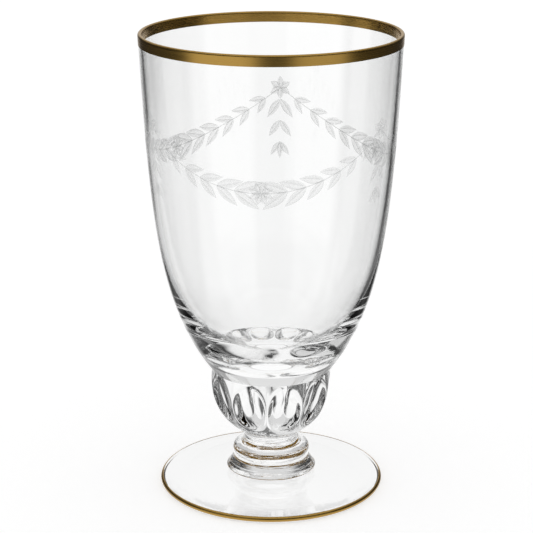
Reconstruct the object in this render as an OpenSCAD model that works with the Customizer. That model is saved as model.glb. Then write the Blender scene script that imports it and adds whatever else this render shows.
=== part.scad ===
// Footed beer goblet: a tall flared bowl on a fluted knop, a ringed stem and a round foot.
// Millimetres, +Z up. The origin is on the table, under the middle of the foot.
// Each piece is its own gather of glass and stands on the one below it, face to face.

/* [Foot] */
// Diameter of the foot, over its glass edge
foot_d = 68.4; // [58:0.2:80]
// Thickness of the foot at its rounded edge
foot_edge_t = 1.6; // [1.2:0.1:3]
// Height of the edge's underside above the table
foot_edge_lift = 0.4; // [0.1:0.1:0.5]
// Height of the foot's top where the stem stands on it
foot_hub_h = 4.6; // [3.6:0.1:7]
// Width of the flat ring that the foot rests on
foot_rest_w = 5.6; // [3:0.2:12]
// Width of the slope from the flat ring up to the round edge
foot_slope_w = 0.5; // [0.3:0.1:2]
// Height of the shallow hollow under the foot
foot_hollow_h = 1.2; // [0.4:0.1:2]

/* [Stem] */
// Diameter of the bell-shaped base ring
base_ring_d = 27.4; // [24:0.2:32]
// Diameter of the base ring's flat top
base_ring_top_d = 23.2; // [20:0.2:24]
// Height of the base ring
base_ring_h = 4.1; // [2.5:0.1:6]
// Radius of the base ring's lower edge
base_ring_round = 0.5; // [0.2:0.1:1]
// Diameter of the bead ring over its round side
bead_d = 23.5; // [22.6:0.1:28]
// Height of the bead ring
bead_h = 4; // [2:0.1:4]
// Diameter of the neck at its waist
neck_d = 16.6; // [12:0.2:17]
// Diameter of the neck where it stands on the bead ring
neck_foot_d = 18.6; // [17:0.1:18.6]
// Height of the neck, from the bead ring to its waist
neck_h = 2.9; // [1.8:0.1:7]

/* [Knop] */
// Diameter of the knop's ball
knop_d = 37; // [32:0.2:42]
// Height of the ball that lies above its widest place
knop_shoulder_h = 4; // [2:0.1:7]
// Radius of the hollow curve from the neck's waist into the ball
knop_fillet_r = 1.4; // [0.8:0.1:4]
// Number of hollows cut round the ball
flute_count = 10; // [8:1:12]
// Radius of the cutting wheel's rim, across each hollow
flute_r = 8; // [6:0.5:12]
// Radius of the cutting wheel, along each hollow
flute_sweep = 40; // [30:1:60]
// Depth of each hollow at its middle
flute_depth = 2.6; // [1.8:0.1:2.8]
// Angle by which the hollows face below the horizontal
flute_tilt = 15; // [14:1:20]

/* [Bowl] */
// Height of the bowl, from the knop to the top of the lip
bowl_h = 103; // [80:1:130]
// Outside diameter of the glass at the lip
lip_d = 77.3; // [70:0.1:90]
// Outward lean of the upper wall, per millimetre of height
bowl_flare = 0.033; // [0:0.001:0.06]
// Height over which the lower bowl swells out from the knop
bowl_swell = 23; // [16:0.5:32]
// Thickness of the wall at the lip
lip_wall = 1.05; // [0.8:0.05:1.6]
// Thickening of the wall, per millimetre below the lip
wall_taper = 0.008; // [0:0.001:0.015]
// Thickness of the solid heel between the knop and the bowl's floor
heel_h = 4; // [3:0.5:16]
// Height over which the floor rounds up into the wall
floor_rise = 6.5; // [4:0.5:10]
// Fullness of the floor's corner, where 2 is a plain round bottom
floor_fullness = 2.4; // [2:0.1:3.5]

/* [Gilding] */
// Thickness of the gilt film
gilt_t = 0.1; // [0.05:0.01:0.2]
// Height of the gilt band inside and outside the lip
lip_band_h = 2.6; // [1.5:0.1:6]
// Highest angle of the gilt line on the foot's round edge
foot_line_top = 85; // [40:5:85]
// Lowest angle of the gilt line on the foot's round edge
foot_line_bottom = -50; // [-60:5:-20]

/* [Hidden] */
$fn = 128;
curve_steps = 24;
wall_steps = 48;
band_steps = 4;
crest_steps = 12;
bell_power = 1.4;
glass_tint = "aliceblue";
glass_alpha = 0.45;
gilt_tint = "goldenrod";

// Radii from the diameters above
foot_edge_round = foot_edge_t / 2;
foot_edge_r = foot_d / 2 - foot_edge_round;
foot_flat_r = foot_edge_r - foot_slope_w;
foot_rest_r = foot_flat_r - foot_rest_w;
base_ring_r = base_ring_d / 2;
base_ring_top_r = base_ring_top_d / 2;
bead_round = bead_h / 2;
bead_flat_r = bead_d / 2 - bead_round;
neck_r = neck_d / 2;
neck_foot_r = neck_foot_d / 2;
knop_r = knop_d / 2;
lip_r = lip_d / 2;
lip_round = lip_wall / 2;

// Heights of the foot's edge, and at which the pieces meet
foot_edge_z = foot_edge_lift + foot_edge_round;
foot_edge_top_z = foot_edge_lift + foot_edge_t;
bead_z = foot_hub_h + base_ring_h;
neck_z = bead_z + bead_h;
waist_z = neck_z + neck_h;
ball_z = waist_z + sqrt(pow(knop_r + knop_fillet_r, 2) - pow(neck_r + knop_fillet_r, 2));
seam_z = ball_z + knop_shoulder_h;
top_z = seam_z + bowl_h;
crest_z = top_z - lip_round;
band_z = crest_z - lip_band_h;
floor_z = seam_z + heel_h;

// Where the hollow curve of the waist runs into the ball
waist_share = knop_r / (knop_r + knop_fillet_r);
tangent_r = waist_share * (neck_r + knop_fillet_r);
tangent_z = ball_z - waist_share * (ball_z - waist_z);
flute_reach = knop_r - flute_depth + flute_sweep;

// The bowl's outside: a straight lean, less a swelling that dies away above the knop
seam_r = sqrt(pow(knop_r, 2) - pow(knop_shoulder_h, 2));
swell_end = exp(-bowl_h / bowl_swell);
swell_in = (lip_r - bowl_flare * bowl_h - seam_r) / (1 - swell_end);
function swell(z) = swell_in * (exp((seam_z - z) / bowl_swell) - swell_end);
function outer_r(z) = lip_r - bowl_flare * (top_z - z) - swell(z);

// The bowl's inside: the outside less the wall, drawn in to the axis at the floor
function wall_t(z) = lip_wall + wall_taper * (crest_z - z);
function floor_share(z) = pow(1 - exp((floor_z - z) / floor_rise), 1 / floor_fullness);
function inner_r(z) = (outer_r(z) - wall_t(z)) * floor_share(z);

// Outline points of the bowl, from the knop up the outside, over the lip and down the inside
function between(a, b, t) = a + (b - a) * t;
outside = [for (i = [0:wall_steps - 1]) let (z = between(seam_z, band_z, i / wall_steps)) [outer_r(z), z]];
outside_band = [for (i = [0:band_steps]) let (z = between(band_z, crest_z, i / band_steps)) [outer_r(z), z]];
inside_band = [for (i = [0:band_steps]) let (z = between(crest_z, band_z, i / band_steps)) [inner_r(z), z]];
inside = [
    for (i = [1:wall_steps])
        let (z = between(floor_z, band_z, pow(1 - i / wall_steps, floor_fullness)))
            [inner_r(z), z]
];
crest_r = (outer_r(crest_z) + inner_r(crest_z)) / 2;
function crest(r) = [
    for (i = [1:crest_steps - 1])
        let (a = 180 * i / crest_steps)
            [crest_r + r * cos(a), crest_z + r * sin(a)]
];
function moved(points, dr) = [for (p = points) [p[0] + dr, p[1]]];
function reversed(points) = [for (i = [len(points) - 1:-1:0]) points[i]];

// A gather of clear glass turned from the outline drawn in its children
module glass() {
    color(glass_tint, glass_alpha)
        rotate_extrude()
            children();
}

// A gilt film turned from the outline drawn in its children
module gilt() {
    color(gilt_tint)
        rotate_extrude()
            children();
}

// Thin disc with a round edge, a low cone on top and a shallow hollow underneath
module foot() {
    glass() {
        translate([foot_edge_r, foot_edge_z])
            circle(r = foot_edge_round);
        polygon(concat(
            [
                for (i = [0:curve_steps])
                    let (t = i / curve_steps)
                        [foot_rest_r * t, foot_hollow_h * (1 - pow(t, 2))]
            ],
            [
                [foot_flat_r, 0],
                [foot_edge_r, foot_edge_lift],
                [foot_edge_r, foot_edge_top_z],
                [base_ring_r, foot_hub_h],
                [0, foot_hub_h]
            ]
        ));
    }
}

// Gilt line on the foot's round edge
module foot_gilding() {
    line_reach = 4 * foot_edge_t;
    line_middle = (foot_line_top + foot_line_bottom) / 2;
    gilt()
        translate([foot_edge_r, foot_edge_z])
            intersection() {
                difference() {
                    circle(r = foot_edge_round + gilt_t);
                    circle(r = foot_edge_round);
                }
                polygon(concat(
                    [[0, 0]],
                    [
                        for (a = [foot_line_bottom, line_middle, foot_line_top])
                            line_reach * [cos(a), sin(a)]
                    ]
                ));
            }
}

// Bell-shaped ring between the foot and the bead
module base_ring() {
    bell_z = foot_hub_h + base_ring_round;
    glass() {
        translate([base_ring_r - base_ring_round, bell_z])
            circle(r = base_ring_round);
        polygon(concat(
            [[0, foot_hub_h], [base_ring_r - base_ring_round, foot_hub_h], [base_ring_r - base_ring_round, bell_z]],
            [
                for (i = [0:curve_steps])
                    let (t = i / curve_steps)
                        [
                            between(base_ring_top_r, base_ring_r, pow(1 - t, bell_power)),
                            between(bell_z, bead_z, t)
                        ]
            ],
            [[0, bead_z]]
        ));
    }
}

// Round ring between the base ring and the neck
module bead_ring() {
    glass() {
        translate([bead_flat_r, bead_z + bead_round])
            circle(r = bead_round);
        translate([0, bead_z])
            square([bead_flat_r, bead_h]);
    }
}

// Drawn-in collar that spreads onto the bead ring
module neck() {
    glass()
        polygon(concat(
            [[0, neck_z]],
            [
                for (i = [0:curve_steps])
                    let (t = i / curve_steps)
                        [between(neck_r, neck_foot_r, pow(1 - t, 2)), between(neck_z, waist_z, t)]
            ],
            [[0, waist_z]]
        ));
}

// The cutting wheel in place, whose round rim leaves one olive-shaped hollow in the ball
module flute() {
    translate([0, 0, ball_z])
        rotate([0, flute_tilt, 0])
            translate([flute_reach, 0, 0])
                rotate([90, 0, 0])
                    rotate_extrude()
                        translate([flute_sweep - flute_r, 0])
                            circle(r = flute_r);
}

// Solid half-ball on the neck's waist, with a ring of olive-shaped hollows
module knop() {
    flute_pitch = 360 / flute_count;
    color(glass_tint, glass_alpha)
        difference() {
            rotate_extrude() {
                intersection() {
                    translate([0, ball_z])
                        circle(r = knop_r);
                    translate([0, tangent_z])
                        square([knop_r, seam_z - tangent_z]);
                }
                difference() {
                    polygon([
                        [0, waist_z],
                        [neck_r + knop_fillet_r, waist_z],
                        [tangent_r, tangent_z],
                        [0, tangent_z]
                    ]);
                    translate([neck_r + knop_fillet_r, waist_z])
                        circle(r = knop_fillet_r);
                }
            }
            for (i = [0:flute_count - 1])
                rotate([0, 0, i * flute_pitch])
                    flute();
        }
}

// Tall flared bowl with a round lip and a solid heel
module bowl() {
    glass()
        polygon(concat(
            [[0, seam_z]],
            outside,
            outside_band,
            crest(lip_round),
            inside_band,
            inside
        ));
}

// Gilt band over the lip, down both sides of the wall
module lip_gilding() {
    gilt()
        polygon(concat(
            moved(outside_band, gilt_t),
            crest(lip_round + gilt_t),
            moved(inside_band, -gilt_t),
            reversed(inside_band),
            reversed(crest(lip_round)),
            reversed(outside_band)
        ));
}

foot();
foot_gilding();
base_ring();
bead_ring();
neck();
knop();
bowl();
lip_gilding();
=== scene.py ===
"""Footed beer glass: clear glass, fired gilding and a matt engraved garland, in a white light tent."""

import math

import bmesh
import bpy
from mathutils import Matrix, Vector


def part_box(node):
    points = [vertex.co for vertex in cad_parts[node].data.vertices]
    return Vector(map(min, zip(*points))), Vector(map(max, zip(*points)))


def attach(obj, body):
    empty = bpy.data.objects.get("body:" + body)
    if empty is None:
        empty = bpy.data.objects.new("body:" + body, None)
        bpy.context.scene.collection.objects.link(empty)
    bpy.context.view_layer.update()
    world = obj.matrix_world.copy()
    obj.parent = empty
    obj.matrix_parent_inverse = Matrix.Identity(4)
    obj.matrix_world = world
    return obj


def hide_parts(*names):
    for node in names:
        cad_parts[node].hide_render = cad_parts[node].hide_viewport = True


bl_info = {
    "name": "Footed Beer Glass",
    "version": (1, 0, 0),
    "blender": (4, 5, 0),
    "location": "View3D > Sidebar > Beer Glass",
    "description": "Dresses the packed beer glass in clear glass, gilding and a matt engraved garland",
    "category": "Object",
}

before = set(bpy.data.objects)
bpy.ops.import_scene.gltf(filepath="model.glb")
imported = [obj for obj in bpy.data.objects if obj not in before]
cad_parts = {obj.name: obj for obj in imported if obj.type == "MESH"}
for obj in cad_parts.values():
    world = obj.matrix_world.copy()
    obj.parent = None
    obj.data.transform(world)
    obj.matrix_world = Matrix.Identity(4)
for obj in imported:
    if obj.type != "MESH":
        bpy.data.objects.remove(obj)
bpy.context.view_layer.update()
BODY = "root"

# Millimetres to the frame's metres
MM = 0.001

# How finely the glass is turned: steps round the axis, and steps along each kind of outline
TURN_STEPS = 256
WALL_STEPS = 120
CURVE_STEPS = 24
BAND_STEPS = 10
ROUND_STEPS = 16
SHARP_ANGLE = math.radians(35)

# A point of an outline that is nearer than this to the last one or to the axis is on it, in metres
SAME_PLACE = 1e-9

# How finely the knop is cut: steps across each hollow, rows up its ball, and the halvings of a distance
# that find where the wheel meets a direction
FLUTE_STEPS = 48
BALL_ROWS = 96
CUT_HALVINGS = 30

# How an engraved leaf is drawn: its steps, where its ends stop, how far forward its belly lies, and the
# depth of the cut at places across it. That depth also carries painted shade: one half is denser toward
# the midrib and the other toward the edge, as light falls on the two sides of a wheel-cut hollow. The
# stems are cut to one depth, and petals have their own width.
CUT_AND_SHADE = "cut"
LEAF_STEPS = 12
LEAF_TIP = 0.02
LEAF_BELLY = 0.85
LEAF_CUTS_AND_SHADE = ((-1, 0.45), (-0.5, 0.6), (-0.08, 1.0), (0, 0.35), (0.5, 0.5), (1, 0.9))
SWAG_STEPS = 48
STEM_CUT = 0.8
PETAL_WIDTH = 0.6

# How the garland is laid out: where the first and the last pair of leaves grow, as shares of the way from
# a swag's middle to its end, the size of the leaves at the end, and the petals of the rosettes. A sprig's
# leaves grow larger from its tip to its top, and stand off more than those of a swag.
FIRST_PAIR, LAST_PAIR = 0.88, 0.2
END_LEAF = 0.62
MIDDLE_PETALS, END_PETALS = 8, 6
SPRIG_PAIRS = 3
SPRIG_TIP, SPRIG_TOP = 0.6, 0.8
SPRIG_SPREAD = 1.3

# The floor: half its width, how far it lies below the foot, its grey, and what the camera sees added to it
FLOOR_HALF, FLOOR_DROP = 4.0, 0.1 * MM
FLOOR_GREY, FLOOR_LIFT = 0.8, 0.55
TENT_STEPS = 96

# Cards round the glass. Each has its bearing, the angle to both sides within which it has its brightness,
# the angle from which it has another, and the two, with 0 for the second where it is left out. Angles are
# in degrees. Straight behind the glass is 0, and its right is +90.
SHEET_FLOOR = (0, 18, 40, 1.0, 0.75)
SHEET_WALL = (0, 18, 40, 0.7, 0.47)
HIGH_CARD = (0, 30, 75, 0.55, 0.1)
SOFT_BOXES = ((-138, 24, 36, 1.0), (138, 18, 30, 0.8), (180, 20, 40, 0.1))
SIDE_CARDS = ((-110, 60, 80, 0.35), (110, 55, 75, 0.2))
NEAR_CARD = (-50, 18, 34, 0.75)
FAR_CARD = (-86, 8, 15, 0.7)
FRONT_CARD = (180, 32, 60, 0.6)

# Where the cards begin and end: the distance from the axis, or the height, at which there is nothing of a
# card and the one at which there is all of it, in metres
UNDER_END = (0.042, 0.037)
SHEET_BEND, HIGH_START = (0.2, 0.1), (0.35, 0.5)
BOX_START, BOX_TOP = (0.08, 0.12), (0.22, 0.14)
SIDE_START, SIDE_END = (0.1, 0.14), (0.55, 0.38)
NEAR_START, NEAR_END = (0.045, 0.07), (0.48, 0.37)
FAR_START, FRONT_START = (0.08, 0.16), (0.06, 0.14)
CARD_TOP = (0.3, 0.2)


def reach(node):
    """The largest radius of a CAD node."""
    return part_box(node)[1].x


def top(node):
    """The height of a CAD node's top."""
    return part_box(node)[1].z


def bottom(node):
    """The height of a CAD node's underside."""
    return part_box(node)[0].z


class GlassSizes(bpy.types.PropertyGroup):
    """Sizes of the glass that its boxes in the frame do not give."""

    foot_edge: bpy.props.FloatProperty(
        name="Foot edge", description="Thickness of the foot at its round edge",
        default=1.6 * MM, unit="LENGTH"
    )
    edge_lift: bpy.props.FloatProperty(
        name="Edge lift", description="Height of the foot's edge above the table",
        default=0.4 * MM, unit="LENGTH"
    )
    rest_width: bpy.props.FloatProperty(
        name="Resting ring", description="Width of the flat ring under the foot",
        default=5.6 * MM, unit="LENGTH"
    )
    slope_width: bpy.props.FloatProperty(
        name="Edge slope", description="Width of the slope up to the foot's edge",
        default=0.5 * MM, unit="LENGTH"
    )
    hollow: bpy.props.FloatProperty(
        name="Foot hollow", description="Height of the hollow under the foot",
        default=1.2 * MM, unit="LENGTH"
    )
    ring_top: bpy.props.FloatProperty(
        name="Base ring top", description="Radius of the base ring's flat top",
        default=11.6 * MM, unit="LENGTH"
    )
    ring_round: bpy.props.FloatProperty(
        name="Base ring edge", description="Radius of the base ring's lower edge",
        default=0.5 * MM, unit="LENGTH"
    )
    ring_bell: bpy.props.FloatProperty(
        name="Base ring bell", description="Power of the bell curve up the base ring",
        default=1.4
    )
    waist: bpy.props.FloatProperty(
        name="Waist", description="Radius of the neck's waist",
        default=8.3 * MM, unit="LENGTH"
    )
    knop_ball: bpy.props.FloatProperty(
        name="Knop ball", description="Radius of the knop's ball",
        default=18.5 * MM, unit="LENGTH"
    )
    knop_fillet: bpy.props.FloatProperty(
        name="Knop fillet", description="Radius of the curve from waist to ball",
        default=1.4 * MM, unit="LENGTH"
    )
    flutes: bpy.props.IntProperty(
        name="Flutes", description="Number of hollows cut round the knop",
        default=10
    )
    flute_radius: bpy.props.FloatProperty(
        name="Flute radius", description="Radius across each hollow",
        default=8 * MM, unit="LENGTH"
    )
    flute_sweep: bpy.props.FloatProperty(
        name="Flute sweep", description="Radius along each hollow",
        default=40 * MM, unit="LENGTH"
    )
    flute_depth: bpy.props.FloatProperty(
        name="Flute depth", description="Depth of each hollow",
        default=2.6 * MM, unit="LENGTH"
    )
    flute_tilt: bpy.props.FloatProperty(
        name="Flute tilt", description="How far the hollows face down",
        default=math.radians(15), subtype="ANGLE"
    )
    flute_polish: bpy.props.FloatProperty(
        name="Flute polish", description="Rounding of the hollows' edges",
        default=0.3 * MM, unit="LENGTH"
    )
    wall_lean: bpy.props.FloatProperty(
        name="Wall lean", description="Outward lean of the upper wall, per unit of height",
        default=0.033
    )
    swell: bpy.props.FloatProperty(
        name="Swell", description="Height over which the bowl swells out",
        default=23 * MM, unit="LENGTH"
    )
    lip_wall: bpy.props.FloatProperty(
        name="Lip wall", description="Thickness of the wall at the lip",
        default=1.05 * MM, unit="LENGTH"
    )
    wall_taper: bpy.props.FloatProperty(
        name="Wall taper", description="Thickening of the wall, per unit below the lip",
        default=0.008
    )
    heel: bpy.props.FloatProperty(
        name="Heel", description="Solid glass under the bowl's floor",
        default=4 * MM, unit="LENGTH"
    )
    floor_rise: bpy.props.FloatProperty(
        name="Floor rise", description="Height over which the floor rounds up",
        default=6.5 * MM, unit="LENGTH"
    )
    floor_fullness: bpy.props.FloatProperty(
        name="Floor fullness", description="Fullness of the floor's corner, 2 for a round bottom",
        default=2.4
    )


class GildingLook(bpy.types.PropertyGroup):
    """The fired gilding on the lip and the foot."""

    film: bpy.props.FloatProperty(
        name="Film", description="Thickness of the gilt film",
        default=0.1 * MM, unit="LENGTH"
    )
    sink: bpy.props.FloatProperty(
        name="Sink", description="How far the film is fired into the glass",
        default=0.02 * MM, unit="LENGTH"
    )
    line_top: bpy.props.FloatProperty(
        name="Foot line top", description="Upper end of the foot's line",
        default=math.radians(78), subtype="ANGLE"
    )
    line_bottom: bpy.props.FloatProperty(
        name="Foot line bottom", description="Lower end of the foot's line",
        default=math.radians(-50), subtype="ANGLE"
    )
    line_thins: bpy.props.FloatProperty(
        name="Foot line thins", description="How far below its upper end the foot's line thins out",
        default=math.radians(70), subtype="ANGLE"
    )
    gold: bpy.props.FloatVectorProperty(
        name="Gold", description="Colour of the burnished gold",
        default=(0.51, 0.32, 0.083), subtype="COLOR"
    )
    worn: bpy.props.FloatVectorProperty(
        name="Worn gold", description="Colour of the brushed streaks",
        default=(0.43, 0.26, 0.066), subtype="COLOR"
    )


class GarlandLook(bpy.types.PropertyGroup):
    """The matt garland engraved round the bowl."""

    swags: bpy.props.IntProperty(
        name="Swags", description="Number of swags round the bowl",
        default=3
    )
    ends: bpy.props.FloatProperty(
        name="Swag ends", description="Height of the swags' ends",
        default=116 * MM, unit="LENGTH"
    )
    sag: bpy.props.FloatProperty(
        name="Sag", description="How far each swag hangs below its ends",
        default=15 * MM, unit="LENGTH"
    )
    pairs: bpy.props.IntProperty(
        name="Leaf pairs", description="Pairs of leaves on each half of a swag",
        default=6, min=2
    )
    leaf: bpy.props.FloatProperty(
        name="Leaf length", description="Length of the swags' largest leaves",
        default=9 * MM, unit="LENGTH"
    )
    leaf_width: bpy.props.FloatProperty(
        name="Leaf width", description="Width of a leaf, as a share of its length",
        default=0.34
    )
    spread: bpy.props.FloatProperty(
        name="Leaf spread", description="Between a leaf and its stem",
        default=math.radians(27), subtype="ANGLE"
    )
    petal: bpy.props.FloatProperty(
        name="Petal length", description="Length of the rosettes' petals",
        default=3.6 * MM, unit="LENGTH"
    )
    drop: bpy.props.FloatProperty(
        name="Drop", description="Length of the sprigs that hang between the swags",
        default=17 * MM, unit="LENGTH"
    )
    stem: bpy.props.FloatProperty(
        name="Stem", description="Width of the engraved stems",
        default=0.35 * MM, unit="LENGTH"
    )
    proud: bpy.props.FloatProperty(
        name="Proud", description="How far the matt skin lies over the glass",
        default=0.02 * MM, unit="LENGTH"
    )
    matt: bpy.props.FloatProperty(
        name="Matt", description="How much the deepest cuts hide what is behind them",
        default=0.5
    )


class StudioLook(bpy.types.PropertyGroup):
    """The floor, the light tent and the camera."""

    camera_back: bpy.props.FloatProperty(
        name="Camera distance", description="From the axis to the camera",
        default=513.17 * MM, unit="LENGTH"
    )
    camera_height: bpy.props.FloatProperty(
        name="Camera height", description="Above the floor",
        default=226.13 * MM, unit="LENGTH"
    )
    camera_pitch: bpy.props.FloatProperty(
        name="Camera pitch", description="Below the level",
        default=math.radians(17.0414), subtype="ANGLE"
    )
    camera_turn: bpy.props.FloatProperty(
        name="Camera turn", description="Round the glass, from its front",
        default=math.radians(4.5), subtype="ANGLE"
    )
    lens: bpy.props.FloatProperty(
        name="Lens", description="Focal length in millimetres",
        default=120.22
    )
    axis_shift: bpy.props.FloatProperty(
        name="Axis shift", description="Sideways shift of the picture, as a share of it",
        default=-0.00867
    )
    tent_radius: bpy.props.FloatProperty(
        name="Tent radius", description="From the glass to the light tent",
        default=0.8, unit="LENGTH"
    )
    tent_height: bpy.props.FloatProperty(
        name="Tent height", description="Height of the light tent's wall",
        default=0.9, unit="LENGTH"
    )
    sheet_half: bpy.props.FloatProperty(
        name="Sheet", description="Half the white sheet's width beside the glass",
        default=35 * MM, unit="LENGTH"
    )
    sheet_full: bpy.props.FloatProperty(
        name="Sheet spread", description="How far out the sheet is full white",
        default=math.radians(12), subtype="ANGLE"
    )
    sheet_end: bpy.props.FloatProperty(
        name="Sheet end", description="How far out the sheet ends",
        default=math.radians(28), subtype="ANGLE"
    )
    ambient: bpy.props.FloatProperty(
        name="Ambient", description="Strength of the light that fills the tent",
        default=0.6
    )
    sky: bpy.props.FloatProperty(
        name="Top light", description="What glass and metal see over the tent",
        default=0.8
    )
    card: bpy.props.FloatProperty(
        name="Dark cards", description="What glass and metal see of the dark cards",
        default=0.045
    )


# Mesh helpers


def between(a, b, t):
    """The value at a share of the way from one value to another."""
    return a + (b - a) * t


def spaced(start, end, steps):
    """Values at even steps from one value to another, both ends with them."""
    return [between(start, end, i / steps) for i in range(steps + 1)]


def arc(centre, radius, start, end, steps=ROUND_STEPS):
    """Points of a circle's arc in the outline's plane, both ends with it."""
    turns = spaced(start, end, steps)
    return [(centre[0] + radius * math.cos(a), centre[1] + radius * math.sin(a)) for a in turns]


def ring(bm, row, start=0.0):
    """Points round the axis, from a radius and a height for each, or one for all if they are on it."""
    if row[0][0] < SAME_PLACE:
        return [bm.verts.new((0, 0, row[0][1]))] * len(row)
    turns = [start + 2 * math.pi * k / len(row) for k in range(len(row))]
    return [bm.verts.new((r * math.cos(a), r * math.sin(a), z)) for (r, z), a in zip(row, turns)]


def skin(bm, rings, finishes):
    """Smooth faces from each ring of points to the next, with a material index for each such band."""
    for low, high, finish in zip(rings, rings[1:], finishes):
        for k in range(len(low)):
            n = (k + 1) % len(low)
            corners = dict.fromkeys((low[k], low[n], high[n], high[k]))
            face = bm.faces.new(list(corners))
            face.material_index = finish
            face.smooth = True


def finished(bm, name):
    """The mesh of a bmesh, with the faces of each closed form turned outward."""
    bmesh.ops.recalc_face_normals(bm, faces=bm.faces)
    mesh = bpy.data.meshes.new(name)
    bm.to_mesh(mesh)
    bm.free()
    return mesh


def turned(name, runs, closed=False):
    """A mesh turned round Z. Each run is a material index and points, and goes on from the last one."""
    points, finishes = [], []
    for finish, run in runs:
        if points and math.dist(run[0], points[-1]) < SAME_PLACE:
            run = run[1:]
        finishes += [finish] * (len(run) if points else len(run) - 1)
        points += run
    bm = bmesh.new()
    rings = [ring(bm, [place] * TURN_STEPS) for place in points]
    if closed:
        rings.append(rings[0])
        finishes.append(finishes[-1])
    skin(bm, rings, finishes)
    return finished(bm, name)


def new_piece(name, mesh, materials, node):
    """Puts a mesh in the scene as a piece, which stands for a CAD node where one is given."""
    mesh.set_sharp_from_angle(angle=SHARP_ANGLE)
    for material in materials:
        mesh.materials.append(material)
    piece = bpy.data.objects.new(name, mesh)
    bpy.context.scene.collection.objects.link(piece)
    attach(piece, BODY)
    if node:
        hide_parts(node)


# Shapes of the knop and the bowl


def ball_height(sizes):
    """The height of the knop's ball centre, where the fillet from the waist touches the ball."""
    fillet = sizes.knop_fillet
    return top("neck") + math.sqrt((sizes.knop_ball + fillet) ** 2 - (sizes.waist + fillet) ** 2)


def cut_ball(sizes):
    """A function for the knop's distance from its ball's centre, by turn from a hollow and by rise."""
    ball_r, polish, tilt = sizes.knop_ball, sizes.flute_polish, sizes.flute_tilt
    wheel, rim, depth = sizes.flute_sweep, sizes.flute_radius, sizes.flute_depth
    wheel_out = ball_r - depth + wheel
    pitch = 2 * math.pi / sizes.flutes

    def cut(turn, rise):
        """How far from the ball's centre a hollow's wheel meets a direction."""
        out = math.cos(rise) * math.cos(turn)
        across = math.cos(rise) * math.sin(turn)
        facing = out * math.cos(tilt) - math.sin(rise) * math.sin(tilt)
        along = out * math.sin(tilt) + math.sin(rise) * math.cos(tilt)

        def clear(d):
            """How far a point at a distance is from the wheel, negative inside it."""
            spoke = math.hypot(wheel_out - d * facing, d * along) - (wheel - rim)
            return math.hypot(spoke, d * across) - rim

        near, far = ball_r - 2 * depth, ball_r + 2 * depth
        if clear(far) > 0:
            return far
        for _ in range(CUT_HALVINGS):
            middle = (near + far) / 2
            near, far = (near, middle) if clear(middle) < 0 else (middle, far)
        return far

    def surface(turn, rise):
        """The ball less its hollows, with the edges between them polished round."""
        cuts = [cut(turn + side * pitch, rise) for side in (-1, 0, 1)]
        return ball_r - polish * math.log1p(sum(math.exp((ball_r - d) / polish) for d in cuts))

    return surface


def bowl_outline(sizes):
    """Functions for the bowl's outer and inner radius at a height, with its main heights."""
    seam, rim = top("knop"), top("bowl")
    lip_r = reach("bowl")
    height = rim - seam
    seam_r = math.sqrt(sizes.knop_ball**2 - (seam - ball_height(sizes)) ** 2)
    crest = rim - sizes.lip_wall / 2
    floor = seam + sizes.heel
    swell_end = math.exp(-height / sizes.swell)
    # The frame's box is measured at the crest's foot, where the lean has drawn the wall in a little
    lip_r += sizes.wall_lean * (rim - crest)
    swell_in = (lip_r - sizes.wall_lean * height - seam_r) / (1 - swell_end)

    def outer(z):
        swell = swell_in * (math.exp((seam - z) / sizes.swell) - swell_end)
        return lip_r - sizes.wall_lean * (rim - z) - swell

    def inner(z):
        wall = sizes.lip_wall + sizes.wall_taper * (crest - z)
        share = (1 - math.exp((floor - z) / sizes.floor_rise)) ** (1 / sizes.floor_fullness)
        return (outer(z) - wall) * share

    return outer, inner, seam, floor, crest


# Shader helpers


def new_material(name):
    """A material with a bare node tree and its Principled shader."""
    material = bpy.data.materials.new(name)
    material.use_nodes = True
    return material, material.node_tree, material.node_tree.nodes["Principled BSDF"]


def node(tree, kind, settings=None, **inputs):
    """A new node with its settings, and with inputs given as values or as sockets to link."""
    made = tree.nodes.new(kind)
    for key, value in (settings or {}).items():
        setattr(made, key, value)
    for key, value in inputs.items():
        place = int(key[1:]) if key[0] == "i" and key[1:].isdigit() else key.replace("_", " ")
        socket = made.inputs[place]
        if isinstance(value, bpy.types.NodeSocket):
            tree.links.new(value, socket)
        else:
            socket.default_value = value
    return made


def sums(tree, operation, a, b=0.0, c=0.0):
    """The value of a Math node."""
    return node(tree, "ShaderNodeMath", {"operation": operation}, i0=a, i1=b, i2=c).outputs[0]


def mixed(tree, share, a, b):
    """The colour at a share of the way from one colour to another."""
    return node(tree, "ShaderNodeMix", {"data_type": "RGBA"}, i0=share, i6=a, i7=b).outputs[2]


def level(tree, value, low, high, start, end):
    """One level up to a value and another from a second value on, with a soft step between."""
    limits = {"From_Min": low, "From_Max": high, "To_Min": start, "To_Max": end}
    made = node(tree, "ShaderNodeMapRange", {"interpolation_type": "SMOOTHSTEP"}, Value=value, **limits)
    return made.outputs["Result"]


def smooth(tree, value, none, full):
    """0 up to a value and 1 from a second value on, with a soft step between."""
    return level(tree, value, none, full, 0.0, 1.0)


def group(name, outputs, inputs=()):
    """An empty shader node group with named sockets, and its two end nodes."""
    tree = bpy.data.node_groups.new(name, "ShaderNodeTree")
    for label, kind, default in inputs:
        socket = tree.interface.new_socket(label, in_out="INPUT", socket_type=kind)
        socket.default_value = default
    for label, kind in outputs:
        tree.interface.new_socket(label, in_out="OUTPUT", socket_type=kind)
    return tree, tree.nodes.new("NodeGroupInput"), tree.nodes.new("NodeGroupOutput")


def placed(tree, shared):
    """A shared node group placed in a material's tree."""
    return node(tree, "ShaderNodeGroup", {"node_tree": shared})


# Materials

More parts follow.
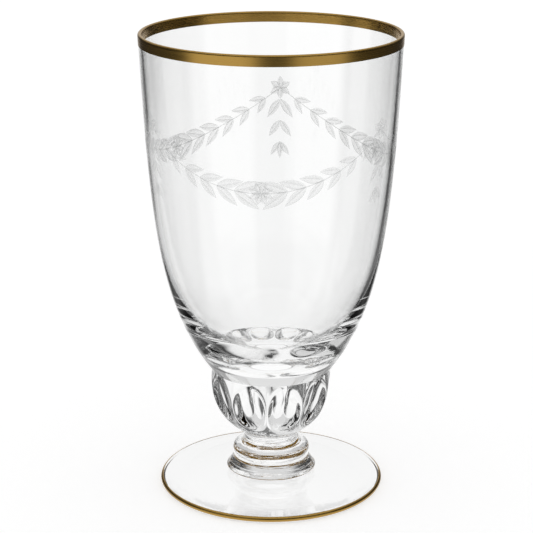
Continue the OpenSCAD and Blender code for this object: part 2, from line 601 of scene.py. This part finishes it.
# The waviness of each kind of glass: waves per metre along X, Y and Z, and how deep they are. Blown glass
# is nearly smooth, the stem's rings keep the lines of the tool that turned them, and the cutting wheel
# leaves marks down the knop.
BLOWN, TOOLED, CUT_GLASS = "blown_glass", "tooled_glass", "wheel_cut_glass"
GLASS_WAVES = {
    BLOWN: ((60, 60, 60), 0.025 * MM),
    TOOLED: ((150, 150, 1800), 0.15 * MM),
    CUT_GLASS: ((350, 350, 120), 0.12 * MM),
}
GLASS_TINT = (0.998, 1.0, 0.999, 1)
GLASS_IOR = 1.52

# The gilding's brush lines: how many per metre along X, Y and Z, the roughness that they vary between, and
# how strong and deep they are as bumps
BRUSH_LINES = (25, 25, 4000)
SMOOTHEST, ROUGHEST = 0.2, 0.34
BRUSH_STRENGTH, BRUSH_DEPTH = 0.15, 0.05 * MM

# The engraving's colour and roughness, its grains per metre, the noise up to which a grain is thin and the
# noise from which it is dense, and how much of the matt a thin grain keeps
MATT_WHITE = (0.9, 0.91, 0.91, 1)
MATT_ROUGHNESS = 0.8
GRAINS = 2500.0
GRAIN_THIN, GRAIN_DENSE = 0.3, 0.7
THIN_SHARE = 0.7


def gather_ripple():
    """Node group: the waviness that hot glass keeps, in waves per metre along each axis."""
    name = "gather_ripple"
    if name in bpy.data.node_groups:
        return bpy.data.node_groups[name]
    waves = ("Waves", "NodeSocketVector", GLASS_WAVES[BLOWN][0])
    tree, start, end = group(name, [("Height", "NodeSocketFloat")], [waves])
    place = node(tree, "ShaderNodeTexCoord").outputs["Object"]
    stretched = node(tree, "ShaderNodeMapping", Vector=place, Scale=start.outputs["Waves"])
    noise = node(tree, "ShaderNodeTexNoise", Vector=stretched.outputs["Vector"], Scale=1.0, Detail=1.0)
    tree.links.new(noise.outputs["Fac"], end.inputs["Height"])
    return tree


def clear_glass(name):
    """Clear glass, with the waviness that its way of making leaves."""
    if name in bpy.data.materials:
        return bpy.data.materials[name]
    material, tree, shader = new_material(name)
    shader.inputs["Base Color"].default_value = GLASS_TINT
    shader.inputs["Roughness"].default_value = 0.0
    shader.inputs["IOR"].default_value = GLASS_IOR
    shader.inputs["Transmission Weight"].default_value = 1.0
    waves, depth = GLASS_WAVES[name]
    ripple = placed(tree, gather_ripple())
    ripple.inputs["Waves"].default_value = waves
    bump = node(tree, "ShaderNodeBump", Height=ripple.outputs["Height"], Strength=1.0, Distance=depth)
    tree.links.new(bump.outputs["Normal"], shader.inputs["Normal"])
    return material


def fused_seam():
    """The face where two gathers are fused, which cannot be seen."""
    name = "fused_seam"
    if name in bpy.data.materials:
        return bpy.data.materials[name]
    material, _, shader = new_material(name)
    shader.inputs["Alpha"].default_value = 0.0
    return material


def gilding(look):
    """Burnished gold with fine brush lines round the rim."""
    name = "burnished_gilding"
    if name in bpy.data.materials:
        return bpy.data.materials[name]
    material, tree, shader = new_material(name)
    shader.inputs["Metallic"].default_value = 1.0
    place = node(tree, "ShaderNodeTexCoord").outputs["Object"]
    streaks = node(tree, "ShaderNodeMapping", Vector=place, Scale=BRUSH_LINES).outputs["Vector"]
    noise = node(tree, "ShaderNodeTexNoise", Vector=streaks, Scale=1.0, Detail=3.0).outputs["Fac"]
    tree.links.new(mixed(tree, noise, (*look.worn, 1), (*look.gold, 1)), shader.inputs["Base Color"])
    rough = node(tree, "ShaderNodeMapRange", Value=noise, To_Min=SMOOTHEST, To_Max=ROUGHEST)
    tree.links.new(rough.outputs["Result"], shader.inputs["Roughness"])
    bump = node(tree, "ShaderNodeBump", Height=noise, Strength=BRUSH_STRENGTH, Distance=BRUSH_DEPTH)
    tree.links.new(bump.outputs["Normal"], shader.inputs["Normal"])
    return material


def engraving(look):
    """Matt wheel engraving, denser where the wheel cut deeper and where a leaf's half holds painted shade.
    """
    name = "wheel_engraving"
    if name in bpy.data.materials:
        return bpy.data.materials[name]
    material, tree, shader = new_material(name)
    shader.inputs["Base Color"].default_value = MATT_WHITE
    shader.inputs["Roughness"].default_value = MATT_ROUGHNESS
    # The cut attribute holds the depth of cut together with the leaves' painted shade
    cut = node(tree, "ShaderNodeAttribute", {"attribute_name": CUT_AND_SHADE}).outputs["Fac"]
    place = node(tree, "ShaderNodeTexCoord").outputs["Object"]
    grain = node(tree, "ShaderNodeTexNoise", Vector=place, Scale=GRAINS, Detail=2.0).outputs["Fac"]
    matt = level(tree, grain, GRAIN_THIN, GRAIN_DENSE, THIN_SHARE * look.matt, look.matt)
    tree.links.new(sums(tree, "MULTIPLY", cut, matt), shader.inputs["Alpha"])
    return material


# Operators, one for each piece or group of like pieces

# Material indices of a piece of glass
GLASS, SEAM = 0, 1


def add_glass(node, mesh, kind):
    """Adds a mesh as the clear glass that stands for a CAD node."""
    new_piece(mesh.name, mesh, [clear_glass(kind), fused_seam()], node)


class GLASS_OT_foot(bpy.types.Operator):
    """Add the round foot"""

    bl_idname = "beer_glass.foot"
    bl_label = "Foot"

    def execute(self, context):
        sizes = context.scene.glass_sizes
        edge = sizes.foot_edge / 2
        edge_r, hub = reach("foot") - edge, top("foot")
        flat_r = edge_r - sizes.slope_width
        rest_r = flat_r - sizes.rest_width
        seam_r = reach("base_ring") - sizes.ring_round
        under = [(rest_r * t, sizes.hollow * (1 - t * t)) for t in spaced(0, 1, CURVE_STEPS)]
        shape = [
            (GLASS, under),
            (GLASS, [(flat_r, 0)]),
            (GLASS, arc((edge_r, sizes.edge_lift + edge), edge, -math.pi / 2, math.pi / 2)),
            (GLASS, [(reach("base_ring"), hub)]),
            (GLASS, [(seam_r, hub)]),
            (SEAM, [(0, hub)]),
        ]
        add_glass("foot", turned("foot_glass", shape), BLOWN)
        return {"FINISHED"}


class GLASS_OT_base_ring(bpy.types.Operator):
    """Add the bell-shaped base ring"""

    bl_idname = "beer_glass.base_ring"
    bl_label = "Base ring"

    def execute(self, context):
        sizes = context.scene.glass_sizes
        low, high, wide = bottom("base_ring"), top("base_ring"), reach("base_ring")
        flat_r = reach("bead_ring") - (top("bead_ring") - bottom("bead_ring")) / 2
        edge = sizes.ring_round
        bell = []
        for t in spaced(0, 1, CURVE_STEPS):
            bell_r = between(sizes.ring_top, wide, (1 - t) ** sizes.ring_bell)
            bell.append((bell_r, between(low + edge, high, t)))
        shape = [
            (SEAM, [(0, low), (wide - edge, low)]),
            (GLASS, arc((wide - edge, low + edge), edge, -math.pi / 2, 0)),
            (GLASS, bell),
            (GLASS, [(flat_r, high)]),
            (SEAM, [(0, high)]),
        ]
        add_glass("base_ring", turned("base_ring_glass", shape), TOOLED)
        return {"FINISHED"}


class GLASS_OT_bead_ring(bpy.types.Operator):
    """Add the round bead ring"""

    bl_idname = "beer_glass.bead_ring"
    bl_label = "Bead ring"

    def execute(self, context):
        low, high = bottom("bead_ring"), top("bead_ring")
        bead = (high - low) / 2
        flat_r = reach("bead_ring") - bead
        shape = [
            (SEAM, [(0, low), (flat_r, low)]),
            (GLASS, arc((flat_r, low + bead), bead, -math.pi / 2, math.pi / 2, 2 * ROUND_STEPS)),
            (GLASS, [(reach("neck"), high)]),
            (SEAM, [(0, high)]),
        ]
        add_glass("bead_ring", turned("bead_ring_glass", shape), TOOLED)
        return {"FINISHED"}


class GLASS_OT_neck(bpy.types.Operator):
    """Add the drawn-in neck"""

    bl_idname = "beer_glass.neck"
    bl_label = "Neck"

    def execute(self, context):
        waist = context.scene.glass_sizes.waist
        low, high, wide = bottom("neck"), top("neck"), reach("neck")
        shares = spaced(0, 1, CURVE_STEPS)
        side = [(between(waist, wide, (1 - t) ** 2), between(low, high, t)) for t in shares]
        shape = [(SEAM, [(0, low), (wide, low)]), (GLASS, side), (SEAM, [(0, high)])]
        add_glass("neck", turned("neck_glass", shape), TOOLED)
        return {"FINISHED"}


class GLASS_OT_knop(bpy.types.Operator):
    """Add the fluted knop"""

    bl_idname = "beer_glass.knop"
    bl_label = "Knop"

    def execute(self, context):
        sizes = context.scene.glass_sizes
        ball_z, waist_z, seam_z = ball_height(sizes), bottom("knop"), top("knop")
        fillet = sizes.knop_fillet
        fillet_r = sizes.waist + fillet
        ball_start = math.atan2(ball_z - waist_z, fillet_r)
        ball_end = math.asin((seam_z - ball_z) / sizes.knop_ball)
        flare = arc((fillet_r, waist_z), fillet, math.pi, math.pi - ball_start)
        steps = FLUTE_STEPS * sizes.flutes
        rows = [[place] * steps for place in [(0, waist_z), *flare[:-1]]]
        surface = cut_ball(sizes)
        half = math.pi / sizes.flutes
        for rise in spaced(-ball_start, ball_end, BALL_ROWS):
            hollow = [surface(turn, rise) for turn in spaced(-half, half, FLUTE_STEPS)[:-1]]
            row = [(d * math.cos(rise), ball_z + d * math.sin(rise)) for d in hollow]
            rows.append(row * sizes.flutes)
        rows.append([(0, seam_z)] * steps)
        bm = bmesh.new()
        rings = [ring(bm, row, -math.pi / 2) for row in rows]
        skin(bm, rings, [SEAM] + [GLASS] * (len(rings) - 3) + [SEAM])
        add_glass("knop", finished(bm, "knop_glass"), CUT_GLASS)
        return {"FINISHED"}


class GLASS_OT_bowl(bpy.types.Operator):
    """Add the tall bowl"""

    bl_idname = "beer_glass.bowl"
    bl_label = "Bowl"

    def execute(self, context):
        sizes = context.scene.glass_sizes
        outer, inner, seam, floor, crest = bowl_outline(sizes)
        crest_r = (outer(crest) + inner(crest)) / 2
        rises = spaced(seam, crest, WALL_STEPS)
        # Toward the floor the steps in height draw together, so that they stay even across it
        shares = [1 - i / WALL_STEPS for i in range(WALL_STEPS)]
        falls = [between(floor, crest, share**sizes.floor_fullness) for share in shares]
        shape = [
            (SEAM, [(0, seam), (outer(seam), seam)]),
            (GLASS, [(outer(z), z) for z in rises]),
            (GLASS, arc((crest_r, crest), sizes.lip_wall / 2, 0, math.pi)),
            (GLASS, [(inner(z), z) for z in falls] + [(0, floor)]),
        ]
        add_glass("bowl", turned("bowl_glass", shape), BLOWN)
        return {"FINISHED"}


class Engraver:
    """Draws leaves and stems as a thin skin on the bowl, by their turn from the front and their height."""

    def __init__(self, radius, proud):
        self.radius, self.proud = radius, proud
        self.bm = bmesh.new()
        self.cut = self.bm.verts.layers.float.new(CUT_AND_SHADE)

    def point(self, turn, z, cut):
        """A point just over the glass, with its depth of cut."""
        r = self.radius(z) + self.proud
        vert = self.bm.verts.new((r * math.sin(turn), -r * math.cos(turn), z))
        vert[self.cut] = cut
        return vert

    def patch(self, rows):
        """Faces between rows of places, each given as turn, height and depth of cut."""
        verts = [[self.point(*place) for place in row] for row in rows]
        for low, high in zip(verts, verts[1:]):
            for a, b, c, d in zip(low, low[1:], high[1:], high):
                self.bm.faces.new((a, b, c, d)).smooth = True

    def leaf(self, turn, z, lean, length, width):
        """A pointed leaf whose matt holds painted shade, denser toward the midrib on one half and the edge
        on the other.
        """
        wide = self.radius(z)
        rows = []
        for t in spaced(LEAF_TIP, 1 - LEAF_TIP, LEAF_STEPS):
            half = width / 2 * math.sin(math.pi * t**LEAF_BELLY)
            row = []
            # Across the leaf the cut carries the painted shade of light on the two sides of the hollow
            for share, cut in LEAF_CUTS_AND_SHADE:
                way = lean + math.atan2(share * half, length * t)
                far = math.hypot(share * half, length * t)
                row.append((turn + far * math.cos(way) / wide, z + far * math.sin(way), cut))
            rows.append(row)
        self.patch(rows)

    def stem(self, places, width):
        """A thin line through places on the bowl."""
        half = width / 2
        self.patch([[(turn, z - half, STEM_CUT), (turn, z + half, STEM_CUT)] for turn, z in places])

    def rosette(self, turn, z, petals, length):
        """A ring of petals."""
        for k in range(petals):
            self.leaf(turn, z, 2 * math.pi * (k + 0.5) / petals, length, length * PETAL_WIDTH)


class GLASS_OT_garland(bpy.types.Operator):
    """Engrave the garland of leaves round the bowl"""

    bl_idname = "beer_glass.garland"
    bl_label = "Garland"

    def execute(self, context):
        look = context.scene.glass_garland
        outer = bowl_outline(context.scene.glass_sizes)[0]
        engraver = Engraver(outer, look.proud)
        span = math.pi / look.swags
        for k in range(look.swags):
            middle = 2 * k * span
            self.swag(engraver, look, middle, span)
            engraver.rosette(middle, look.ends - look.sag, MIDDLE_PETALS, look.petal)
            engraver.rosette(middle + span, look.ends, END_PETALS, look.petal)
            self.sprig(engraver, look, middle + span)
        mesh = finished(engraver.bm, "engraved_garland")
        new_piece("engraved_garland", mesh, [engraving(look)], None)
        return {"FINISHED"}

    def swag(self, engraver, look, middle, span):
        """Leaves in pairs along a hanging stem, from both ends to the middle."""

        def height(share):
            return look.ends - look.sag * (1 - share * share)

        places = [(middle + span * share, height(share)) for share in spaced(-1, 1, SWAG_STEPS)]
        engraver.stem(places, look.stem)
        gaps = look.pairs - 1
        for share, size in zip(spaced(FIRST_PAIR, LAST_PAIR, gaps), spaced(END_LEAF, 1, gaps)):
            length = look.leaf * size
            slope = math.atan2(2 * look.sag * share, span * engraver.radius(height(share)))
            for side in (-1, 1):
                inward = math.pi + slope if side > 0 else -slope
                place = (middle + side * span * share, height(share))
                for lean in (inward - look.spread, inward + look.spread):
                    engraver.leaf(*place, lean, length, length * look.leaf_width)

    def sprig(self, engraver, look, turn):
        """A sprig that hangs from a swag's end."""
        low, high, down = look.ends - look.drop, look.ends - look.petal, -math.pi / 2
        tip = look.leaf * SPRIG_TIP
        engraver.leaf(turn, low, down, tip, tip * look.leaf_width)
        gaps = SPRIG_PAIRS - 1
        for z, size in zip(spaced(low, high, gaps), spaced(SPRIG_TIP, SPRIG_TOP, gaps)):
            length = look.leaf * size
            for side in (-1, 1):
                lean = down + side * SPRIG_SPREAD * look.spread
                engraver.leaf(turn, z, lean, length, length * look.leaf_width)


class GLASS_OT_gilding(bpy.types.Operator):
    """Add the gilt lip and the gilt line round the foot"""

    bl_idname = "beer_glass.gilding"
    bl_label = "Gilding"

    def execute(self, context):
        sizes, look = context.scene.glass_sizes, context.scene.glass_gilding
        self.lip(sizes, look)
        self.foot_line(sizes, look)
        return {"FINISHED"}

    def lip(self, sizes, look):
        """The band over the lip, inside and outside."""
        outer, inner, *_, crest = bowl_outline(sizes)
        film, sink, half = look.film, look.sink, sizes.lip_wall / 2
        middle = ((outer(crest) + inner(crest)) / 2, crest)
        rises = spaced(bottom("lip_gilding"), crest, BAND_STEPS)
        band = [(outer(z) + film, z) for z in rises]
        band += arc(middle, half + film, 0, math.pi)[1:-1]
        band += [(inner(z) - film, z) for z in reversed(rises)]
        band += [(inner(z) + sink, z) for z in rises]
        band += arc(middle, half - sink, math.pi, 0)[1:-1]
        band += [(outer(z) - sink, z) for z in reversed(rises)]
        mesh = turned("lip_gilt", [(0, band)], closed=True)
        new_piece("lip_gilt", mesh, [gilding(look)], "lip_gilding")

    def foot_line(self, sizes, look):
        """The line round the foot's edge, which thins to nothing at its upper end."""
        edge = sizes.foot_edge / 2
        middle = (reach("foot") - edge, sizes.edge_lift + edge)
        line = []
        for turn in spaced(look.line_bottom, look.line_top, ROUND_STEPS):
            over = edge + look.film * min(1, max(0, (look.line_top - turn) / look.line_thins))
            line.append((middle[0] + over * math.cos(turn), middle[1] + over * math.sin(turn)))
        line += arc(middle, edge - look.sink, look.line_top, look.line_bottom)
        mesh = turned("foot_gilt", [(0, line)], closed=True)
        new_piece("foot_gilt", mesh, [gilding(look)], "foot_gilding")


class GLASS_OT_stage(bpy.types.Operator):
    """Add the floor, the light tent, the light and the camera"""

    bl_idname = "beer_glass.stage"
    bl_label = "Stage"

    def execute(self, context):
        scene, look = context.scene, context.scene.glass_studio
        scene.view_settings.view_transform = "Standard"
        scene.cycles.max_bounces = 32
        scene.cycles.transmission_bounces = 32
        scene.cycles.glossy_bounces = 16
        scene.cycles.transparent_max_bounces = 64
        add_camera(scene, look)
        add_world(scene, look)
        add_floor(scene, look)
        add_tent(scene, look)
        return {"FINISHED"}


# The stage


def add_camera(scene, look):
    """The camera, in front of the glass and a little above it."""
    camera = bpy.data.cameras.new("camera")
    camera.lens = look.lens
    camera.shift_x = look.axis_shift
    camera.clip_start = 0.01
    holder = bpy.data.objects.new("camera", camera)
    back, turn = look.camera_back, look.camera_turn
    holder.location = (back * math.sin(turn), -back * math.cos(turn), look.camera_height)
    holder.rotation_euler = (math.pi / 2 - look.camera_pitch, 0, turn)
    scene.collection.objects.link(holder)
    scene.camera = holder


def seen_in_glass(tree):
    """Masks of the rays that leave glass or metal, of those through glass, and of the camera's own."""
    path = node(tree, "ShaderNodeLightPath")
    through = path.outputs["Is Transmission Ray"]
    mirrored = sums(tree, "MAXIMUM", path.outputs["Is Glossy Ray"], through)
    return mirrored, through, path.outputs["Is Camera Ray"]


def studio_cards(look):
    """Node group: how bright the white sheet, the soft boxes and the dark cards are, by place."""
    name = "studio_cards"
    if name in bpy.data.node_groups:
        return bpy.data.node_groups[name]
    tree, _, end = group(name, [("Mirrored", "NodeSocketColor"), ("Through Glass", "NodeSocketColor")])
    place = node(tree, "ShaderNodeNewGeometry").outputs["Position"]
    about_z = {"rotation_type": "Z_AXIS"}
    faced = node(tree, "ShaderNodeVectorRotate", about_z, Vector=place, Angle=-look.camera_turn)
    x, y, z = node(tree, "ShaderNodeSeparateXYZ", Vector=faced.outputs[0]).outputs
    bearing = sums(tree, "ARCTAN2", x, y)
    squares = sums(tree, "ADD", sums(tree, "POWER", x, 2.0), sums(tree, "POWER", y, 2.0))
    distance = sums(tree, "SQRT", squares)

    def beside(middle, full, none, bright, dim=0.0):
        """One brightness near a bearing and another away from it, as a card says."""
        turn = sums(tree, "SUBTRACT", bearing, math.radians(middle))
        off = sums(tree, "ABSOLUTE", sums(tree, "WRAP", turn, math.pi, -math.pi))
        return level(tree, off, math.radians(full), math.radians(none), bright, dim)

    def joined(operation, parts):
        """Several values taken together, one after another."""
        whole = parts[0]
        for part in parts[1:]:
            whole = sums(tree, operation, whole, part)
        return whole

    def product(*parts):
        return joined("MULTIPLY", parts)

    def brightest(*parts):
        return joined("MAXIMUM", parts)

    # The white sheet starts beside the glass, widens to the back and goes up the tent's wall, dimmer there
    past = sums(tree, "SUBTRACT", sums(tree, "ABSOLUTE", x), look.sheet_half)
    spread = sums(tree, "ARCTAN2", sums(tree, "MAXIMUM", past, 0.0), y)
    sheet = product(smooth(tree, spread, look.sheet_end, look.sheet_full), beside(*SHEET_FLOOR))
    sheet = product(sheet, brightest(smooth(tree, z, *SHEET_BEND), beside(*SHEET_WALL)))
    under = smooth(tree, distance, *UNDER_END)
    boxes = brightest(*[beside(*box) for box in SOFT_BOXES])
    boxes = product(boxes, smooth(tree, distance, *BOX_START), smooth(tree, z, *BOX_TOP))
    sides = brightest(*[beside(*card) for card in SIDE_CARDS])
    sides = product(sides, smooth(tree, distance, *SIDE_START), smooth(tree, distance, *SIDE_END))
    high = product(smooth(tree, z, *HIGH_START), beside(*HIGH_CARD))
    white = brightest(sheet, under, boxes, sides, high)
    # Three cards are seen through the glass alone, so that it looks clear from its sides and back
    near = product(smooth(tree, distance, *NEAR_START), smooth(tree, distance, *NEAR_END))
    far = product(smooth(tree, distance, *FAR_START), smooth(tree, z, *CARD_TOP))
    front = product(smooth(tree, distance, *FRONT_START), smooth(tree, z, *CARD_TOP))
    cards = ((near, NEAR_CARD), (far, FAR_CARD), (front, FRONT_CARD))
    clear = brightest(white, *[product(beside(*card), extent) for extent, card in cards])
    for label, seen in (("Mirrored", white), ("Through Glass", clear)):
        shown = sums(tree, "MULTIPLY_ADD", seen, 1 - look.card, look.card)
        tree.links.new(shown, end.inputs[label])
    return tree


def card_light(tree, look, through):
    """An emission of the cards, as metal mirrors them or as they are seen through the glass."""
    cards = placed(tree, studio_cards(look))
    shown = mixed(tree, through, cards.outputs["Mirrored"], cards.outputs["Through Glass"])
    return node(tree, "ShaderNodeEmission", Color=shown)


def add_world(scene, look):
    """White for the camera, the top light for glass and metal, and the ambient light for the rest."""
    world = bpy.data.worlds.new("studio")
    scene.world = world
    world.use_nodes = True
    tree = world.node_tree
    mirrored, _, camera = seen_in_glass(tree)
    light = sums(tree, "MULTIPLY_ADD", mirrored, look.sky - look.ambient, look.ambient)
    light = sums(tree, "MAXIMUM", light, camera)
    tree.links.new(light, tree.nodes["Background"].inputs["Strength"])
    tree.nodes["Background"].inputs["Color"].default_value = (1, 1, 1, 1)


def add_floor(scene, look):
    """A pale floor that takes the shadow, and on which glass and metal see the cards."""
    half, low = FLOOR_HALF, -FLOOR_DROP
    mesh = bpy.data.meshes.new("floor")
    corners = [(-half, -half, low), (half, -half, low), (half, half, low), (-half, half, low)]
    mesh.from_pydata(corners, [], [(0, 1, 2, 3)])
    material, tree, shader = new_material("floor")
    tree.nodes.remove(shader)
    mirrored, through, camera = seen_in_glass(tree)
    lit = node(tree, "ShaderNodeBsdfDiffuse", Color=(FLOOR_GREY, FLOOR_GREY, FLOOR_GREY, 1))
    lift = node(tree, "ShaderNodeEmission", Strength=sums(tree, "MULTIPLY", camera, FLOOR_LIFT))
    own = node(tree, "ShaderNodeAddShader", i0=lit.outputs[0], i1=lift.outputs[0])
    seen = card_light(tree, look, through)
    mix = node(tree, "ShaderNodeMixShader", i0=mirrored, i1=own.outputs[0], i2=seen.outputs[0])
    tree.links.new(mix.outputs[0], tree.nodes["Material Output"].inputs["Surface"])
    mesh.materials.append(material)
    floor = bpy.data.objects.new("floor", mesh)
    scene.collection.objects.link(floor)


def add_tent(scene, look):
    """A round wall of cards, which only glass and metal see."""
    bm = bmesh.new()
    rings = [ring(bm, [(look.tent_radius, z)] * TENT_STEPS) for z in (0, look.tent_height)]
    skin(bm, rings, [0])
    mesh = finished(bm, "light_tent")
    material, tree, shader = new_material("light_tent")
    tree.nodes.remove(shader)
    seen = card_light(tree, look, seen_in_glass(tree)[1])
    tree.links.new(seen.outputs[0], tree.nodes["Material Output"].inputs["Surface"])
    mesh.materials.append(material)
    tent = bpy.data.objects.new("light_tent", mesh)
    tent.visible_camera = False
    tent.visible_diffuse = False
    tent.visible_shadow = False
    scene.collection.objects.link(tent)


class GLASS_PT_panel(bpy.types.Panel):
    """The beer glass's pieces and sizes"""

    bl_label = "Beer Glass"
    bl_idname = "GLASS_PT_panel"
    bl_space_type = "VIEW_3D"
    bl_region_type = "UI"
    bl_category = "Beer Glass"

    def draw(self, context):
        for operator in PIECES:
            self.layout.operator(operator.bl_idname)
        for group_name in GROUPS:
            look = getattr(context.scene, group_name)
            box = self.layout.box()
            for name in look.__annotations__:
                box.prop(look, name)


GROUPS = {
    "glass_sizes": GlassSizes,
    "glass_gilding": GildingLook,
    "glass_garland": GarlandLook,
    "glass_studio": StudioLook,
}
PIECES = (
    GLASS_OT_stage,
    GLASS_OT_foot,
    GLASS_OT_base_ring,
    GLASS_OT_bead_ring,
    GLASS_OT_neck,
    GLASS_OT_knop,
    GLASS_OT_bowl,
    GLASS_OT_garland,
    GLASS_OT_gilding,
)


def register():
    for kind in (*GROUPS.values(), *PIECES, GLASS_PT_panel):
        bpy.utils.register_class(kind)
    for name, kind in GROUPS.items():
        setattr(bpy.types.Scene, name, bpy.props.PointerProperty(type=kind))


def unregister():
    for name in GROUPS:
        delattr(bpy.types.Scene, name)
    for kind in reversed((*GROUPS.values(), *PIECES, GLASS_PT_panel)):
        bpy.utils.unregister_class(kind)


def main():
    register()
    bpy.ops.beer_glass.stage()
    bpy.ops.beer_glass.foot()
    bpy.ops.beer_glass.base_ring()
    bpy.ops.beer_glass.bead_ring()
    bpy.ops.beer_glass.neck()
    bpy.ops.beer_glass.knop()
    bpy.ops.beer_glass.bowl()
    bpy.ops.beer_glass.garland()
    bpy.ops.beer_glass.gilding()


if __name__ == "__main__":
    main()
